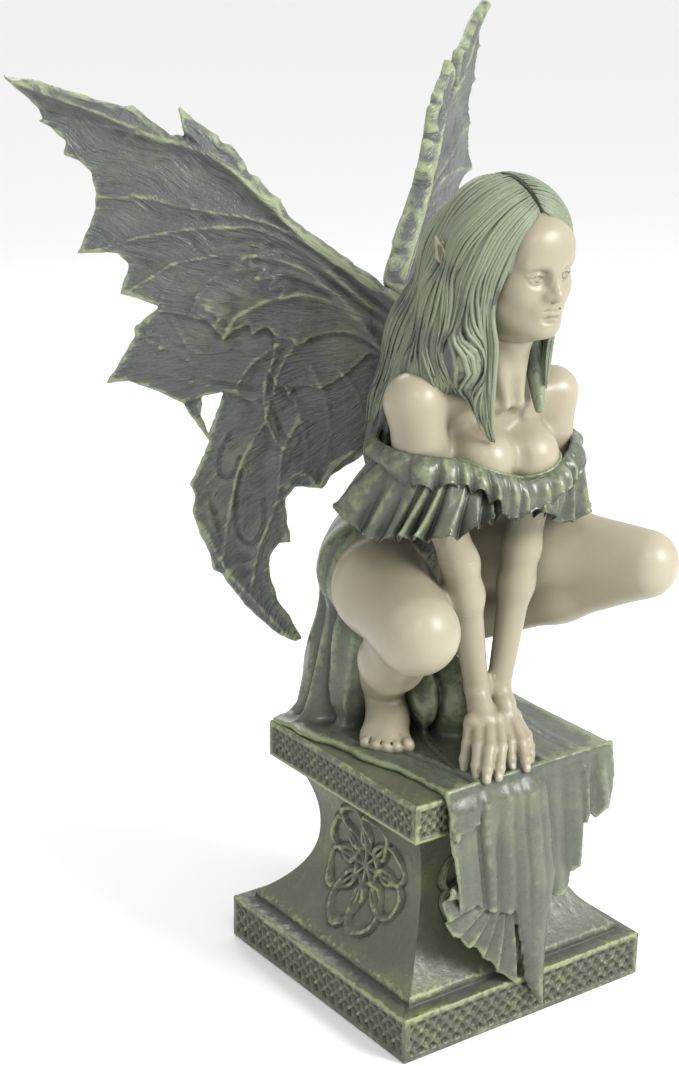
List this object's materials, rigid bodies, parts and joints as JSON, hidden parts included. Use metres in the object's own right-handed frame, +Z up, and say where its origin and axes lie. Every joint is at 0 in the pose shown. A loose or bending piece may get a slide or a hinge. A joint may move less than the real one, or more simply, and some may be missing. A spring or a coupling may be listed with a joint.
{
  "type": "statue",
  "caption": "Winged fairy crouching barefoot on a square plinth with plaited knot bands, an aged green-grey garden statue with a pale skin finish.",
  "frame": {"origin": "middle of the plinth's underside", "axes": "+Z up, the figure looks along -Y, its left hand is on the +X side"},
  "size_m": [0.4023, 0.3382, 0.6595],
  "materials": {
    "plinth_patina": "matte",
    "skin_finish": "satin",
    "hair_patina": "satin",
    "dress_patina": "matte",
    "wing_patina": "matte"
  },
  "bodies": {
    "root": {"plinth": "plinth_patina", "fairy_figure": "skin_finish", "wing_right": "wing_patina", "wing_left": "wing_patina"}
  },
  "joints": []
}
